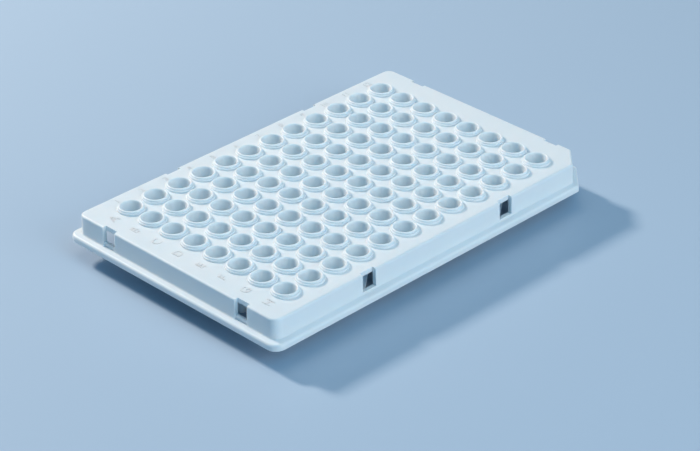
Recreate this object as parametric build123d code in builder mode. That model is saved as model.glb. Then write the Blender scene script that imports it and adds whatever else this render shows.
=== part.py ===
"""A 96-well plate, low-profile and semi-skirted, moulded in one piece.

The deck carries twelve columns by eight rows of conical wells. Each has a raised rim: a rounded
bead, and round its foot a lower collar.
A short skirt hangs from the deck and ends in a flange, which is the standard footprint. The
wells reach below the skirt, so the plate stands on its well tips. The corner beside well H12
is cut off, and each side of the skirt has two windows that notch the edge of the deck.

Frame: the origin is the centre of the footprint at the well tips, +X runs from column 1 to
column 12, +Y from row H to row A, and +Z is up. Lengths are in millimetres.
"""
import os
from math import radians, sqrt, tan

from build123d import *

# --- Well array ---------------------------------------------------------------------------
columns = 12
rows = 8
pitch = 9.0                      # between well centres, both ways
column_margin = 14.38            # edge of the footprint to the centres of column 1
row_margin = 11.24               # edge of the footprint to the centres of row A

# --- Deck, skirt and flange ---------------------------------------------------------------
skirt_lift = 5.9                 # well tips to the underside of the flange
skirt_height = 8.1               # underside of the flange to the top of the deck
skirt_thickness = 1.3
skirt_draft = 1.0                # degrees
deck_thickness = 1.5
deck_edge_radius = 0.6
corner_radius = 2.6              # the three round corners of the skirt
corner_cut = 6.3                 # legs of the cut corner of the skirt
cut_end_radius = 0.5             # the two blunt edges beside the cut

flange_height = 1.9
flange_end_width = 2.08          # how far the flange stands out at the two ends
flange_side_width = 2.3          # and along the two long sides
flange_cut_width = 1.7           # and along the cut corner
flange_corner_radius = 3.2
flange_rounding = 0.85           # of its upper outer edge
flange_foot_radius = 0.4         # in the hollow between the skirt and the flange

# --- Windows in the skirt -----------------------------------------------------------------
window_width = 4.9
window_place = 3                 # well pitches from the middle of a side to each window
side_sill_height = 2.6           # underside of the flange to the sills of the long sides
end_sill_height = 3.1            # and to the sills of the two ends
end_channel_depth = 0.5          # the shallow channel that runs down from each end sill

# --- One well -----------------------------------------------------------------------------
well_wall = 0.4
well_floor = 0.5
tip_diameter = 2.8               # outside, before the tip is rounded
tip_rounding = 0.6
knee_height = 10.3               # well tip to the knee, where the cone ends
knee_bore = 5.3                  # inside diameters at the knee and at the mouth
mouth_bore = 5.7
rim_step = 0.15                  # the mouth widens by this much all round, into the rim
rim_height = 1.1                 # the crown of the bead above the deck
bead_width = 0.75
bead_rounding = 0.42             # the height of the bead's round top
collar_width = 0.38              # how far the collar stands out from the bead
collar_height = 0.6              # the collar above the deck
collar_draft = 0.05              # its outer wall leans in by this much
collar_root = 0.5                # how deep its foot is buried in the deck

# --- Worked-out sizes ---------------------------------------------------------------------
footprint_length = (columns - 1) * pitch + 2 * column_margin
footprint_width = (rows - 1) * pitch + 2 * row_margin
skirt_length = footprint_length - 2 * flange_end_width
skirt_width = footprint_width - 2 * flange_side_width
flange_cut = corner_cut + flange_end_width + flange_side_width - sqrt(2) * flange_cut_width
flange_top = skirt_lift + flange_height
deck_top = skirt_lift + skirt_height
deck_underside = deck_top - deck_thickness
cavity_height = skirt_height - deck_thickness
rim_top = deck_top + rim_height
collar_top = deck_top + collar_height
rim_inner_radius = mouth_bore / 2 + rim_step
bead_outer_radius = rim_inner_radius + bead_width
collar_radius = bead_outer_radius + collar_width


def plate_outline(length, width, radius, cut):
    """A rectangle with three round corners, and a 45-degree cut at its (+X, -Y) corner."""
    towards_cut = Axis((0, 0, 0), (1, -1, 0))
    with BuildSketch() as outline:
        Rectangle(length, width)
        fillet(outline.vertices().sort_by(towards_cut)[:-1], radius)
        chamfer(outline.vertices().sort_by(towards_cut)[-1], cut)
        fillet(outline.vertices().sort_by(towards_cut)[-2:], cut_end_radius)
    return outline.sketch


def rounded_foot(corner, knee):
    """Where the rounding of a cone's foot starts on the floor, its corner, and where it ends."""
    lean = (knee[0] - corner[0]) / (knee[1] - corner[1])
    on_floor = (corner[0] - tip_rounding, corner[1])
    on_cone = (corner[0] + lean * tip_rounding, corner[1] + tip_rounding)
    return on_floor, corner, on_cone


# --- One well: its wall from the tip to the rim, turned about its own axis -----------------
with BuildPart() as well:
    neck = mouth_bore / 2 + well_wall
    outer_knee = (knee_bore / 2 + well_wall, knee_height)
    inner_knee = (knee_bore / 2, knee_height)
    outer_foot = rounded_foot((tip_diameter / 2, 0), outer_knee)
    inner_foot = rounded_foot((tip_diameter / 2 - well_wall, well_floor), inner_knee)
    with BuildSketch(Plane.XZ):
        with BuildLine():
            Line((0, 0), outer_foot[0])
            Bezier(*outer_foot)
            Polyline(
                outer_foot[-1],
                outer_knee,
                (neck, deck_underside),
                (neck, deck_top - collar_root),
                (collar_radius, deck_top - collar_root),
                (collar_radius, deck_top),
                (collar_radius - collar_draft, collar_top),
                (bead_outer_radius, collar_top),
                (bead_outer_radius, rim_top - bead_rounding),
            )
            EllipticalCenterArc(
                (rim_inner_radius + bead_width / 2, rim_top - bead_rounding),
                bead_width / 2,
                bead_rounding,
                start_angle=0,
                arc_size=180,
            )
            Polyline(
                (rim_inner_radius, rim_top - bead_rounding),
                (mouth_bore / 2, rim_top - 2 * bead_rounding),
                inner_knee,
                inner_foot[-1],
            )
            Bezier(*inner_foot)
            Polyline(inner_foot[0], (0, well_floor), (0, 0))
        make_face()
    revolve(axis=Axis.Z)

# --- The plate ----------------------------------------------------------------------------
with BuildPart() as well_plate:
    # The flange, with its upper outer edge rounded.
    with BuildSketch(Plane.XY.offset(skirt_lift)):
        add(plate_outline(footprint_length, footprint_width, flange_corner_radius, flange_cut))
    extrude(amount=flange_height)
    fillet(well_plate.faces().sort_by(Axis.Z)[-1].edges(), flange_rounding)

    # The skirt and the deck as one block, rounded at the top and blended into the flange.
    with BuildSketch(Plane.XY.offset(skirt_lift)):
        add(plate_outline(skirt_length, skirt_width, corner_radius, corner_cut))
    extrude(amount=skirt_height, taper=skirt_draft)
    fillet(well_plate.faces().sort_by(Axis.Z)[-1].edges(), deck_edge_radius)
    level_faces = well_plate.faces().filter_by(Axis.Z)
    flange_top_face = level_faces.sort_by(lambda face: abs(face.center().Z - flange_top))[0]
    fillet(flange_top_face.inner_wires()[0].edges(), flange_foot_radius)

    # The hollow below the deck leaves the skirt's wall.
    with BuildSketch(Plane.XY.offset(skirt_lift)):
        add(
            plate_outline(
                skirt_length - 2 * skirt_thickness,
                skirt_width - 2 * skirt_thickness,
                corner_radius - skirt_thickness,
                corner_cut - (2 - sqrt(2)) * skirt_thickness,
            )
        )
    extrude(amount=cavity_height, taper=skirt_draft, mode=Mode.SUBTRACT)

    # The windows: each goes through the skirt's wall and up through the edge of the deck.
    window_offset = window_place * pitch
    window_depth = skirt_thickness + cavity_height * tan(radians(skirt_draft))
    side_window_height = skirt_height - side_sill_height
    for side in (-1, 1):
        with Locations((0, side * (skirt_width / 2 - window_depth), deck_top - side_window_height)):
            with GridLocations(2 * window_offset, 1, 2, 1):
                Box(
                    window_width,
                    2 * window_depth,
                    2 * side_window_height,
                    align=(Align.CENTER, Align.MIN if side > 0 else Align.MAX, Align.MIN),
                    mode=Mode.SUBTRACT,
                )
    end_window_height = skirt_height - end_sill_height
    for end in (-1, 1):
        outwards = Align.MIN if end > 0 else Align.MAX
        with Locations((end * (skirt_length / 2 - window_depth), 0, deck_top - end_window_height)):
            with GridLocations(1, 2 * window_offset, 1, 2):
                Box(
                    2 * window_depth,
                    window_width,
                    2 * end_window_height,
                    align=(outwards, Align.CENTER, Align.MIN),
                    mode=Mode.SUBTRACT,
                )
        with Locations((end * (skirt_length / 2 - end_channel_depth), 0, flange_top)):
            with GridLocations(1, 2 * window_offset, 1, 2):
                Box(
                    end_channel_depth + flange_foot_radius,
                    window_width,
                    skirt_height - flange_height,
                    align=(outwards, Align.CENTER, Align.MIN),
                    mode=Mode.SUBTRACT,
                )

    # A round hole in the deck for each well, inside the thickness of the well's wall.
    with BuildSketch(Plane.XY.offset(deck_underside)):
        with GridLocations(pitch, pitch, columns, rows):
            Circle(mouth_bore / 2 + well_wall / 2)
    extrude(amount=deck_thickness, mode=Mode.SUBTRACT)
    with GridLocations(pitch, pitch, columns, rows):
        add(well.part)

well_plate.part.label = "well_plate"
os.makedirs("parts", exist_ok=True)
export_step(well_plate.part, "parts/well_plate.step")
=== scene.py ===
from collections import namedtuple
from math import pi, radians, sqrt, tan

import bmesh
import bpy
import numpy as np
from mathutils import Matrix, Vector


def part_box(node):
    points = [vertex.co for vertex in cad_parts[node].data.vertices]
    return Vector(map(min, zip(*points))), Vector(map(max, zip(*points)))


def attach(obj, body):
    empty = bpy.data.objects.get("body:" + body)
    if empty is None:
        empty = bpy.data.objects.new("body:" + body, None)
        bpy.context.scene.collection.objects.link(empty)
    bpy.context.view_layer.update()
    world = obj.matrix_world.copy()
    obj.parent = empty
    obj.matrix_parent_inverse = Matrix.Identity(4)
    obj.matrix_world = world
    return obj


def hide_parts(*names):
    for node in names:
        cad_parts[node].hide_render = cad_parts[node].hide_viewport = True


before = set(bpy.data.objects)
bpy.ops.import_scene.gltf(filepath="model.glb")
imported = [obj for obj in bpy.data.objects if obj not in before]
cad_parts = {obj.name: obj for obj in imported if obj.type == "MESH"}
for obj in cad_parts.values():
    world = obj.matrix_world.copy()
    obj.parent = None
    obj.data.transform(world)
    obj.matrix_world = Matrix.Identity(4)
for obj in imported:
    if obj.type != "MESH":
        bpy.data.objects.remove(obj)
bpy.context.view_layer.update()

# The plate stands on its well tips. Lengths are in metres, +X runs from column 1 to
# column 12, +Y from row H to row A, and +Z is up.
MM = 0.001
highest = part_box("well_plate")[1]

# --- Driving sizes --------------------------------------------------------------------
COLUMNS = 12
ROWS = 8
PITCH = 9.0 * MM

DECK_THICKNESS = 1.5 * MM
DECK_EDGE_RADIUS = 0.6 * MM

SKIRT_HEIGHT = 8.1 * MM                 # from the flange's underside to the deck's top
SKIRT_THICKNESS = 1.3 * MM
SKIRT_DRAFT = tan(radians(1.0))
CORNER_RADIUS = 2.6 * MM
CORNER_CUT = 6.3 * MM                   # the legs of the cut corner beside well H12
CUT_END_RADIUS = 0.5 * MM

FLANGE_HEIGHT = 1.9 * MM
FLANGE_END_WIDTH = 2.08 * MM
FLANGE_SIDE_WIDTH = 2.3 * MM
FLANGE_CUT_WIDTH = 1.7 * MM
FLANGE_CORNER_RADIUS = 3.2 * MM
FLANGE_EDGE_RADIUS = 0.85 * MM
WALL_FOOT_RADIUS = 0.4 * MM             # where the wall meets the flange

WINDOW_HALF_WIDTH = 2.45 * MM
WINDOW_PLACE = 3 * PITCH                # from the middle of each side
SIDE_SILL_HEIGHT = 2.6 * MM             # sills above the flange's underside
END_SILL_HEIGHT = 3.1 * MM
CHANNEL_DEPTH = 0.5 * MM

WELL_WALL = 0.4 * MM
WELL_FLOOR = 0.5 * MM
TIP_RADIUS = 1.4 * MM
TIP_ROUNDING = 0.6 * MM
KNEE_HEIGHT = 10.3 * MM
KNEE_BORE_RADIUS = 2.65 * MM
MOUTH_RADIUS = 2.85 * MM
RIM_HEIGHT = 1.1 * MM
BEAD_INNER_RADIUS = 3.0 * MM
BEAD_OUTER_RADIUS = 3.75 * MM
BEAD_ROUNDING = 0.42 * MM               # the height of the bead's round top
MOUTH_DEPTH = 2 * BEAD_ROUNDING         # from the top of the bead down to the bore
COLLAR_RADIUS = 4.13 * MM
COLLAR_HEIGHT = 0.6 * MM
COLLAR_DRAFT = 0.05 * MM
COLLAR_ROUNDING = 0.12 * MM             # of its upper edge, and at its foot

# What follows from them: heights above the well tips, and half sizes.
RIM_TOP = highest.z
DECK_TOP = RIM_TOP - RIM_HEIGHT
DECK_UNDERSIDE = DECK_TOP - DECK_THICKNESS
COLLAR_TOP = DECK_TOP + COLLAR_HEIGHT
SKIRT_FOOT = DECK_TOP - SKIRT_HEIGHT
FLANGE_TOP = SKIRT_FOOT + FLANGE_HEIGHT
SIDE_SILL = SKIRT_FOOT + SIDE_SILL_HEIGHT
END_SILL = SKIRT_FOOT + END_SILL_HEIGHT
ARRAY_HALF_LENGTH = COLUMNS * PITCH / 2
ARRAY_HALF_WIDTH = ROWS * PITCH / 2
SKIRT_HALF_LENGTH = highest.x - FLANGE_END_WIDTH
SKIRT_HALF_WIDTH = highest.y - FLANGE_SIDE_WIDTH

# --- Facets ---------------------------------------------------------------------------
TURN_STEPS = 32                         # round a well, a multiple of eight
CELL_STEPS = TURN_STEPS // 4            # along one side of a well's square cell
BEAD_STEPS = 6                          # over the bead's round top
COLLAR_STEPS = 2
TIP_STEPS = 2
DECK_EDGE_STEPS = 4
WALL_FOOT_STEPS = 3
FLANGE_EDGE_STEPS = 4
ROUND_CORNER_STEPS = 6
CUT_END_STEPS = 2

WELD_DISTANCE = 0.0005 * MM
PLATE_SHARP_ANGLE = radians(35)         # edges past these angles stay sharp
LABEL_SHARP_ANGLE = radians(30)


# --- Shapes as numpy arrays -----------------------------------------------------------
def rounded(corners, radii, steps):
    """A polyline whose inner corners are tangent arcs.

    Each arc starts at radius x tan(half the turn) before its corner. Its points are its
    centre plus the radius, turned in even steps from the first leg's normal to the
    second leg's.
    """
    corners = np.array(corners, float)
    path = [corners[:1]]
    bends = zip(corners, corners[1:], corners[2:], radii, steps)
    for before, corner, after, radius, count in bends:
        into = (corner - before) / np.linalg.norm(corner - before)
        out = (after - corner) / np.linalg.norm(after - corner)
        turn = np.arctan2(into[0] * out[1] - into[1] * out[0], into @ out)
        inward = np.sign(turn) * np.array([-into[1], into[0]])
        angle = np.linspace(0, abs(turn), count + 1)[:, None]
        start = corner - into * radius * tan(abs(turn) / 2)
        arc = inward - inward * np.cos(angle) + into * np.sin(angle)
        path.append(start + radius * arc)
    path.append(corners[-1:])
    return np.concatenate(path)


class Shell:
    """Grids of points and single faces, welded at the end into one closed mesh."""

    def __init__(self):
        self.points = []
        self.faces = []
        self.count = 0

    def add(self, points):
        """Takes in an array of points, and gives an array of their indices."""
        index = self.count + np.arange(points[..., 0].size).reshape(points.shape[:-1])
        self.points.append(points.reshape(-1, 3))
        self.count += index.size
        return index

    def bridge(self, index, keep=None):
        """A face between each index of a grid and the next ones down and across.

        The grid's columns close on themselves, and keep says which faces are made.
        """
        across = np.roll(index, -1, axis=1)
        faces = np.stack([index[:-1], index[1:], across[1:], across[:-1]], axis=-1)
        self.faces += (faces if keep is None else faces[keep]).reshape(-1, 4).tolist()

    def welded(self, name):
        """The mesh with points that coincide made one, which closes seams and poles."""
        mesh = bpy.data.meshes.new(name)
        mesh.from_pydata(np.concatenate(self.points).tolist(), [], self.faces)
        weld(mesh)
        return mesh


def weld(mesh):
    """Merges a mesh's doubles, drops its unused points and turns its faces outwards."""
    build = bmesh.new()
    build.from_mesh(mesh)
    bmesh.ops.remove_doubles(build, verts=build.verts, dist=WELD_DISTANCE)
    bmesh.ops.dissolve_degenerate(build, dist=WELD_DISTANCE, edges=build.edges)
    unused = [point for point in build.verts if not point.link_faces]
    bmesh.ops.delete(build, geom=unused, context="VERTS")
    bmesh.ops.recalc_face_normals(build, faces=build.faces)
    build.to_mesh(mesh)
    build.free()


# --- Wells ----------------------------------------------------------------------------
def well_sections():
    """Radius and height along the top surface of a well, then along its underside.

    The top goes up over the collar and the bead, whose round top is the upper half of
    an ellipse, and down the bore to the bottom of the well. The underside goes from the
    deck down the outside of the cone to the tip.
    """
    collar = rounded(
        [
            (PITCH / 2, DECK_TOP),
            (COLLAR_RADIUS, DECK_TOP),
            (COLLAR_RADIUS - COLLAR_DRAFT, COLLAR_TOP),
            (BEAD_OUTER_RADIUS, COLLAR_TOP),
        ],
        [COLLAR_ROUNDING, COLLAR_ROUNDING],
        [COLLAR_STEPS, COLLAR_STEPS],
    )
    angle = np.linspace(0, pi, BEAD_STEPS + 1)
    middle = (BEAD_INNER_RADIUS + BEAD_OUTER_RADIUS) / 2
    bead = np.column_stack(
        [
            middle + (BEAD_OUTER_RADIUS - middle) * np.cos(angle),
            RIM_TOP - BEAD_ROUNDING + BEAD_ROUNDING * np.sin(angle),
        ]
    )
    bore = rounded(
        [
            (MOUTH_RADIUS, RIM_TOP - MOUTH_DEPTH),
            (KNEE_BORE_RADIUS, KNEE_HEIGHT),
            (TIP_RADIUS - WELL_WALL, WELL_FLOOR),
            (0, WELL_FLOOR),
        ],
        [0, TIP_ROUNDING],
        [0, TIP_STEPS],
    )
    top = np.concatenate([collar, bead, bore])
    underside = rounded(
        [
            (PITCH / 2, DECK_UNDERSIDE),
            (MOUTH_RADIUS + WELL_WALL, DECK_UNDERSIDE),
            (KNEE_BORE_RADIUS + WELL_WALL, KNEE_HEIGHT),
            (TIP_RADIUS, 0),
            (0, 0),
        ],
        [0, 0, TIP_ROUNDING],
        [0, 0, TIP_STEPS],
    )
    return top, underside


def turned(section):
    """A section carried round the vertical axis, a ring of points for each of its own.

    The first ring is the square of the well's cell: there the circle's directions are
    divided by the larger of their two parts, so that it meets the cells on all sides.
    """
    angle = np.arange(TURN_STEPS) * 2 * pi / TURN_STEPS
    direction = np.stack([np.cos(angle), np.sin(angle)], axis=-1)
    rings = section[:, :1, None] * direction
    rings[0] /= np.abs(direction).max(axis=1, keepdims=True)
    heights = np.broadcast_to(section[:, 1:, None], rings.shape[:2] + (1,))
    return np.concatenate([rings, heights], axis=-1)


def centres(count):
    """Evenly pitched places, centred on zero."""
    return (np.arange(count) - (count - 1) / 2) * PITCH


def add_wells(shell):
    """The wells, each with its own square cell of the deck, above and below."""
    for surface in map(turned, well_sections()):
        for x in centres(COLUMNS):
            for y in centres(ROWS):
                shell.bridge(shell.add(surface + (x, y, 0)))


# --- Skirt ----------------------------------------------------------------------------
class Side:
    """The stations along one side of the plate.

    They lie where the rays of the wells' facets meet the border of the well array, at
    half the pitch x tan(the ray's angle) from the middle of each cell.

    cell holds their places on the border of the well array, and edge their places on
    the outline. They differ only at the jambs of the windows, where each station is
    doubled. openings holds the number of the first station at each window's two jambs,
    and inside marks the stations from jamb to jamb.
    """

    def __init__(self, cells):
        step = np.arange(CELL_STEPS) - CELL_STEPS / 2
        in_cell = PITCH / 2 * np.tan(step * 2 * pi / TURN_STEPS)
        in_cells = (centres(cells)[:, None] + in_cell).ravel()
        place = np.append(in_cells, cells * PITCH / 2)
        jambs = (
            np.array([-1, -1, 1, 1]) * WINDOW_PLACE
            + np.array([-1, 1, -1, 1]) * WINDOW_HALF_WIDTH
        )
        nearest = np.abs(place - jambs[:, None]).argmin(axis=1)
        moved = place.copy()
        moved[nearest] = jambs
        order = np.sort(np.append(np.arange(place.size), nearest))
        self.cell = place[order]
        self.edge = moved[order]
        self.openings = np.searchsorted(order, nearest).reshape(2, 2)
        self.inside = np.zeros(order.size, bool)
        for first, last in self.openings:
            self.inside[first + 1 : last + 1] = True


# The four sides in turn, anticlockwise from row H: the way out of each, and the way
# along it. The corner after the first side is the cut one.
OUTWARD = np.array([(0, -1), (1, 0), (0, 1), (-1, 0)])
ALONG = np.roll(OUTWARD, -1, axis=0)
SIDES = [Side(COLUMNS), Side(ROWS)] * 2
CUT_CORNER = 0
CORNER_STATIONS = [2 * (CUT_END_STEPS + 1)] + 3 * [ROUND_CORNER_STEPS + 1]

# A rectangle with three round corners, and one cut at 45 degrees with rounded ends.
Outline = namedtuple("Outline", "half_length half_width radius cut end_radius")
CUT_SHRINKAGE = 2 - sqrt(2)             # of the cut's legs, as a share of an inset


def inset(outline, depth):
    """An outline drawn in by a depth all round."""
    return Outline(
        outline.half_length - depth,
        outline.half_width - depth,
        max(outline.radius - depth, 0),
        outline.cut - CUT_SHRINKAGE * depth,
        max(outline.end_radius - depth, 0),
    )


def outline_points(outline):
    """An outline's points: along the stations of each side, then round its corner.

    On the side after the cut corner, no station lies before the end of the cut, whose
    rounding reaches its radius x tan(an eighth of pi) past the cut's leg.
    """
    reach = [outline.half_width, outline.half_length] * 2
    cut_end = outline.cut + outline.end_radius * tan(pi / 8) - outline.half_width
    points = []
    for turn, side in enumerate(SIDES):
        out, along = OUTWARD[turn], ALONG[turn]
        corner = out * reach[turn] + along * reach[(turn + 1) % 4]
        place = side.edge
        if turn == CUT_CORNER + 1:
            place = np.maximum(place, cut_end)
        points.append(out * reach[turn] + along * place[:, None])
        start, end = points[-1][-1], corner - out * reach[turn]
        if turn == CUT_CORNER:
            cut_from, cut_to = corner - along * outline.cut, corner - out * outline.cut
            radii, steps = 2 * [outline.end_radius], 2 * [CUT_END_STEPS]
            bend = rounded([start, cut_from, cut_to, end], radii, steps)
        else:
            bend = rounded([start, corner, end], [outline.radius], [ROUND_CORNER_STEPS])
        points.append(bend[1:-1])
    return np.concatenate(points)


def array_points():
    """The well array's border at the same stations, a corner's all at one place."""
    reach = [ARRAY_HALF_WIDTH, ARRAY_HALF_LENGTH] * 2
    points = []
    for turn, side in enumerate(SIDES):
        points.append(OUTWARD[turn] * reach[turn] + ALONG[turn] * side.cell[:, None])
        points.append(np.repeat(points[-1][-1:], CORNER_STATIONS[turn], axis=0))
    return np.concatenate(points)


def level(points, height):
    """A flat ring of points lifted to a height."""
    return np.column_stack([points, np.full(len(points), height)])


def skirt_inset(height):
    """How far the drafted skirt has drawn in at a height."""
    return (height - SKIRT_FOOT) * SKIRT_DRAFT


# The rings of the skirt by their number, from the deck outwards, down and inside up
# again. An arc has one ring more than it has steps.
NOTCH = 1
OUTER_END_SILL = NOTCH + DECK_EDGE_STEPS + 2
OUTER_SIDE_SILL = OUTER_END_SILL + 1
FOOT_END = OUTER_SIDE_SILL + WALL_FOOT_STEPS + 1
FLANGE_EDGE_END = FOOT_END + FLANGE_EDGE_STEPS + 1
INNER_SIDE_SILL = FLANGE_EDGE_END + 3
INNER_END_SILL = INNER_SIDE_SILL + 1
CAVITY_TOP = INNER_END_SILL + 1


def skirt_rings():
    """The rings of the skirt, from the deck round the flange and up inside to the deck.

    Each is the outline of the skirt, the flange or the cavity, drawn in by the
    section's depth at the section's height. The first and the last are the border of
    the well array.
    """
    skirt = Outline(
        SKIRT_HALF_LENGTH, SKIRT_HALF_WIDTH, CORNER_RADIUS, CORNER_CUT, CUT_END_RADIUS
    )
    # The flange's cut is the skirt's, moved out by the flange's width there.
    both_widths = FLANGE_END_WIDTH + FLANGE_SIDE_WIDTH
    flange = Outline(
        highest.x,
        highest.y,
        FLANGE_CORNER_RADIUS,
        CORNER_CUT + both_widths - sqrt(2) * FLANGE_CUT_WIDTH,
        CUT_END_RADIUS,
    )
    cavity = inset(skirt, SKIRT_THICKNESS)._replace(end_radius=CUT_END_RADIUS)

    wall_top = (skirt_inset(DECK_TOP), DECK_TOP)
    wall_foot = (skirt_inset(FLANGE_TOP), FLANGE_TOP)
    end_sill = (skirt_inset(END_SILL), END_SILL)
    side_sill = (skirt_inset(SIDE_SILL), SIDE_SILL)
    cavity_top = (skirt_inset(DECK_UNDERSIDE), DECK_UNDERSIDE)
    notch = (SKIRT_THICKNESS + cavity_top[0], DECK_TOP)
    # The ways along the flange's top, out from the wall and in from the flange's edge.
    outwards, inwards = (-PITCH, FLANGE_TOP), (PITCH, FLANGE_TOP)

    deck_edge = rounded(
        [notch, wall_top, end_sill], [DECK_EDGE_RADIUS], [DECK_EDGE_STEPS]
    )
    foot = rounded(
        [side_sill, wall_foot, outwards], [WALL_FOOT_RADIUS], [WALL_FOOT_STEPS]
    )
    flange_edge = rounded(
        [inwards, (0, FLANGE_TOP), (0, SKIRT_FOOT)],
        [FLANGE_EDGE_RADIUS],
        [FLANGE_EDGE_STEPS],
    )
    sections = [
        (skirt, [*deck_edge, *foot[:-1]]),
        (flange, flange_edge[1:]),
        (cavity, [(0, SKIRT_FOOT), side_sill, end_sill, cavity_top]),
    ]
    rings = [level(array_points(), DECK_TOP)]
    for outline, section in sections:
        for depth, height in section:
            rings.append(level(outline_points(inset(outline, depth)), height))
    rings.append(level(array_points(), DECK_UNDERSIDE))
    return np.array(rings)


def add_skirt(shell):
    """The deck's border, the skirt and the flange, with their windows.

    The rings are bridged all round except in the windows. There the deck's notch gets a
    back, the opening a sill and two jambs, and at the ends the wall below is set back
    as a channel.
    """
    rings = skirt_rings()
    keep = np.ones((len(rings) - 1, rings.shape[1]), bool)
    openings = []
    first = 0
    for turn, side in enumerate(SIDES):
        at_end = turn % 2 == 1
        outer = OUTER_END_SILL if at_end else OUTER_SIDE_SILL
        inner = INNER_END_SILL if at_end else INNER_SIDE_SILL
        for start, stop in first + side.openings:
            keep[NOTCH:outer, start : stop + 1] = False
            keep[inner:CAVITY_TOP, start : stop + 1] = False
            openings.append((start, stop, outer, inner))
        if at_end:
            within = first + np.flatnonzero(side.inside)
            channel = OUTWARD[turn][0] * (SKIRT_HALF_LENGTH - CHANNEL_DEPTH)
            rings[OUTER_END_SILL:FOOT_END, within, 0] = channel
            rings[FOOT_END - 1, within, 2] = FLANGE_TOP
        first += side.cell.size + CORNER_STATIONS[turn]

    index = shell.add(rings)
    shell.bridge(index, keep)
    for start, stop, outer, inner in openings:
        # The back of the notch, then the sill.
        for upper, lower in ((NOTCH, CAVITY_TOP), (outer, inner)):
            strip = index[:, start + 1 : stop + 1][[upper, lower]]
            corners = [strip[0, :-1], strip[0, 1:], strip[1, 1:], strip[1, :-1]]
            shell.faces += np.stack(corners, axis=-1).tolist()
        # The jambs, each one face from the outside of the wall to its inside.
        for outside, inside in ((start, start + 1), (stop + 1, stop)):
            wall = index[NOTCH : outer + 1, outside]
            reveal = index[[outer, *range(inner, CAVITY_TOP + 1)], inside]
            shell.faces.append([*wall.tolist(), *reveal.tolist()])


# --- Pieces ---------------------------------------------------------------------------
def smooth_piece(name, mesh, material, sharp_angle):
    """An object for a finished mesh: smooth, with edges kept sharp past an angle."""
    mesh.polygons.foreach_set("use_smooth", np.ones(len(mesh.polygons), bool))
    mesh.set_sharp_from_angle(angle=sharp_angle)
    mesh.materials.append(material)
    piece = bpy.data.objects.new(name, mesh)
    bpy.context.scene.collection.objects.link(piece)
    weighted = piece.modifiers.new("flat faces stay flat", "WEIGHTED_NORMAL")
    weighted.keep_sharp = True
    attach(piece, "root")
    return piece


# --- Labels ---------------------------------------------------------------------------
LETTER_HEIGHT = 2.9 * MM
NUMBER_HEIGHT = 2.0 * MM
LABEL_RELIEF = 0.07 * MM                # up from the deck's surface
LABEL_ROOT = 0.05 * MM                  # down into the deck
CAP_SHARE = 0.72                        # of a letter's type size that is its height
LABEL_CURVE_STEPS = 3
LETTER_PLACE = -56.4 * MM               # of the column of letters, along X
LETTER_SHIFT = -0.9 * MM                # of a letter from the middle of its row
NUMBER_PLACE = 37.4 * MM                # of the row of numbers, along Y


def label_mesh(text, height, x, y):
    """One raised label, centred on a place, its foot a little below the deck's top."""
    curve = bpy.data.curves.new(text, "FONT")
    curve.body = text
    curve.size = height / CAP_SHARE
    curve.align_x = "CENTER"
    curve.align_y = "CENTER"
    curve.extrude = (LABEL_RELIEF + LABEL_ROOT) / 2
    curve.resolution_u = LABEL_CURVE_STEPS
    lettering = bpy.data.objects.new(text, curve)
    mesh = bpy.data.meshes.new_from_object(lettering)
    bpy.data.objects.remove(lettering)
    middle = DECK_TOP + (LABEL_RELIEF - LABEL_ROOT) / 2
    mesh.transform(Matrix.Translation((x, y, middle)))
    return mesh


def add_labels(name, labels, material):
    """A row of labels joined into one piece."""
    build = bmesh.new()
    for label in labels:
        build.from_mesh(label_mesh(*label))
    mesh = bpy.data.meshes.new(name)
    build.to_mesh(mesh)
    build.free()
    weld(mesh)
    smooth_piece(name, mesh, material, LABEL_SHARP_ANGLE)


# --- Finish ---------------------------------------------------------------------------
class Value:
    """A number socket of a material, on which + and * add Math nodes."""

    def __init__(self, finish, socket):
        self.finish = finish
        self.socket = socket

    def maths(self, operation, first, second):
        """A Math node on two values or numbers."""
        node = self.finish.node(
            "ShaderNodeMath", {"operation": operation}, {0: first, 1: second}
        )
        return Value(self.finish, node.outputs[0])

    def __add__(self, other):
        return self.maths("ADD", self, other)

    def __radd__(self, other):
        return self.maths("ADD", other, self)

    def __mul__(self, other):
        return self.maths("MULTIPLY", self, other)

    def __rmul__(self, other):
        return self.maths("MULTIPLY", other, self)


class Finish:
    """A material with a Principled shader, and its nodes."""

    def __init__(self, name):
        self.material = bpy.data.materials.new(name)
        self.material.use_nodes = True
        self.tree = self.material.node_tree
        self.shader = self.tree.nodes["Principled BSDF"]

    def node(self, kind, settings=None, inputs=None):
        """A node with its settings made first, then its sockets' values or links."""
        node = self.tree.nodes.new(kind)
        for name, value in (settings or {}).items():
            setattr(node, name, value)
        for name, value in (inputs or {}).items():
            self.feed(node.inputs[name], value)
        return node

    def feed(self, socket, value):
        """Sets a socket to a number or colour, or links it to another socket."""
        if isinstance(value, Value):
            value = value.socket
        if isinstance(value, bpy.types.NodeSocket):
            self.tree.links.new(value, socket)
        else:
            socket.default_value = value

    def shade(self, **inputs):
        """Feeds the shader's sockets, with underscores for spaces in their names."""
        for name, value in inputs.items():
            self.feed(self.shader.inputs[name.replace("_", " ")], value)

    def noise(self, place, scale, detail):
        """A noise of a scale in waves per metre, as a value from 0 to 1."""
        node = self.node(
            "ShaderNodeTexNoise",
            {"noise_dimensions": "3D"},
            {"Vector": place, "Scale": scale, "Detail": detail},
        )
        return Value(self, node.outputs["Fac"])


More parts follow.
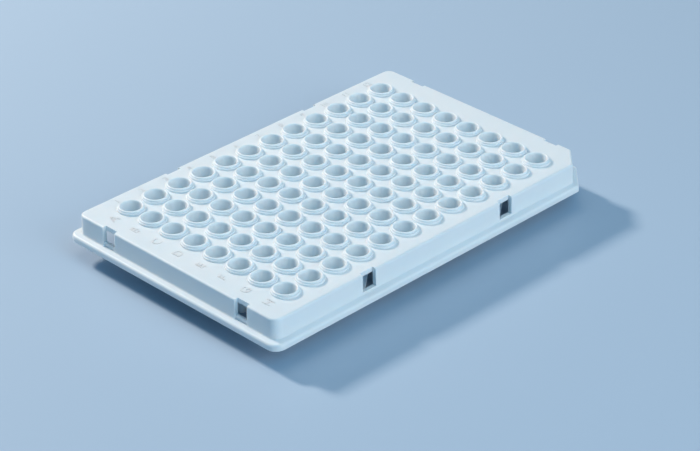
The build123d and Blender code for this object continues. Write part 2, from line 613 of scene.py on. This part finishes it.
def white_polypropylene():
    """Moulded white polypropylene: satin, faintly mottled by the flow, with fine grain.

    Light spreads a little way under its surface.
    """
    finish = Finish("white polypropylene")
    place = finish.node("ShaderNodeTexCoord").outputs["Object"]
    flow = finish.noise(place, scale=45, detail=3)
    cloud = finish.noise(place, scale=400, detail=2)
    grain = finish.noise(place, scale=6000, detail=2)
    deeper_white = (0.78, 0.87, 0.93, 1)
    lighter_white = (0.82, 0.895, 0.945, 1)
    tint = finish.node(
        "ShaderNodeMix",
        {"data_type": "RGBA"},
        {"Factor": flow, "A": deeper_white, "B": lighter_white},
    )
    bump = finish.node(
        "ShaderNodeBump",
        inputs={
            "Height": grain + cloud * 0.6,
            "Strength": 0.25,
            "Distance": 0.004 * MM,
        },
    )
    finish.shade(
        Base_Color=tint.outputs["Result"],
        Roughness=0.3 + flow * 0.1 + cloud * 0.08,
        Normal=bump.outputs["Normal"],
        IOR=1.49,
        Subsurface_Weight=1.0,
        Subsurface_Radius=(0.85, 0.95, 1.0),
        Subsurface_Scale=0.4 * MM,
    )
    return finish.material


# --- The plate ------------------------------------------------------------------------
plastic = white_polypropylene()

shell = Shell()
add_wells(shell)
add_skirt(shell)
plate = smooth_piece("plate", shell.welded("plate"), plastic, PLATE_SHARP_ANGLE)
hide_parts("well_plate")

letters = [
    (chr(ord("A") + row), LETTER_HEIGHT, LETTER_PLACE, y + LETTER_SHIFT)
    for row, y in enumerate(centres(ROWS)[::-1])
]
numbers = [
    (str(column + 1), NUMBER_HEIGHT, x, NUMBER_PLACE)
    for column, x in enumerate(centres(COLUMNS))
]
add_labels("row_letters", letters, plastic)
add_labels("column_numbers", numbers, plastic)


# --- Stage, light and camera ----------------------------------------------------------
FLOOR_HALF_WIDTH = 3.0
FLOOR_COLOUR = (0.44, 0.58, 0.72, 1)

SURROUND_COLOUR = (0.2, 0.6, 1.0, 1)
SURROUND_STRENGTH = 0.24

# Each lamp's place and size in metres, its power in watts and its colour. The key is
# warm and stands behind row A, and the fill is cool and stands in front of row H.
LAMPS = {
    "key": ((-0.101, 0.823, 0.569), 0.12, 9.1, (1.0, 0.84, 0.73)),
    "overhead": ((0.0, 0.1, 1.2), 0.8, 2.9, (1.0, 0.87, 0.76)),
    "fill": ((-0.1, -0.75, 0.85), 0.7, 2.8, (0.35, 0.75, 1.0)),
    "reflector": ((0.1, -1.0, 0.35), 0.7, 4.9, (1.0, 0.92, 0.86)),
}
LAMP_TARGET = (0, 0, 0.01)

CAMERA_PLACE = (-0.44706, -0.46856, 0.37983)
CAMERA_AROUND = radians(-43.975)        # from +Y, anticlockwise seen from above
CAMERA_DOWN = radians(30.36)            # below the horizontal
CAMERA_ROLL = radians(-1.034)
CAMERA_LENS = 134.77                    # millimetres, as the sensor's width is
CAMERA_SENSOR = 36.0
CAMERA_REACH = 20.0


def stage_floor():
    """A wide plain pale floor under the well tips."""
    half = FLOOR_HALF_WIDTH
    corners = [(-half, -half, 0), (half, -half, 0), (half, half, 0), (-half, half, 0)]
    mesh = bpy.data.meshes.new("floor")
    mesh.from_pydata(corners, [], [(0, 1, 2, 3)])
    finish = Finish("pale floor")
    finish.shade(Base_Color=FLOOR_COLOUR, Roughness=0.4)
    mesh.materials.append(finish.material)
    floor = bpy.data.objects.new("floor", mesh)
    bpy.context.scene.collection.objects.link(floor)


def stage_world():
    """An even, dim blue surround."""
    world = bpy.data.worlds.new("surround")
    world.use_nodes = True
    background = world.node_tree.nodes["Background"]
    background.inputs["Color"].default_value = SURROUND_COLOUR
    background.inputs["Strength"].default_value = SURROUND_STRENGTH
    bpy.context.scene.world = world


def area_light(name, place, size, power, colour):
    """A square lamp at a place, turned to face the plate."""
    lamp = bpy.data.lights.new(name, "AREA")
    lamp.size = size
    lamp.energy = power
    lamp.color = colour
    holder = bpy.data.objects.new(name, lamp)
    bpy.context.scene.collection.objects.link(holder)
    way = Vector(place) - Vector(LAMP_TARGET)
    turn = way.to_track_quat("Z", "Y").to_matrix().to_4x4()
    holder.matrix_world = Matrix.Translation(place) @ turn


def camera():
    """A long lens looking down on the corner at column 1 and row H."""
    data = bpy.data.cameras.new("camera")
    data.sensor_width = CAMERA_SENSOR
    data.lens = CAMERA_LENS
    data.clip_end = CAMERA_REACH
    holder = bpy.data.objects.new("camera", data)
    bpy.context.scene.collection.objects.link(holder)
    holder.matrix_world = (
        Matrix.Translation(CAMERA_PLACE)
        @ Matrix.Rotation(CAMERA_AROUND, 4, "Z")
        @ Matrix.Rotation(pi / 2 - CAMERA_DOWN, 4, "X")
        @ Matrix.Rotation(CAMERA_ROLL, 4, "Z")
    )
    bpy.context.scene.camera = holder


stage_floor()
stage_world()
for name, settings in LAMPS.items():
    area_light(name, *settings)
camera()
bpy.context.scene.view_settings.view_transform = "Standard"
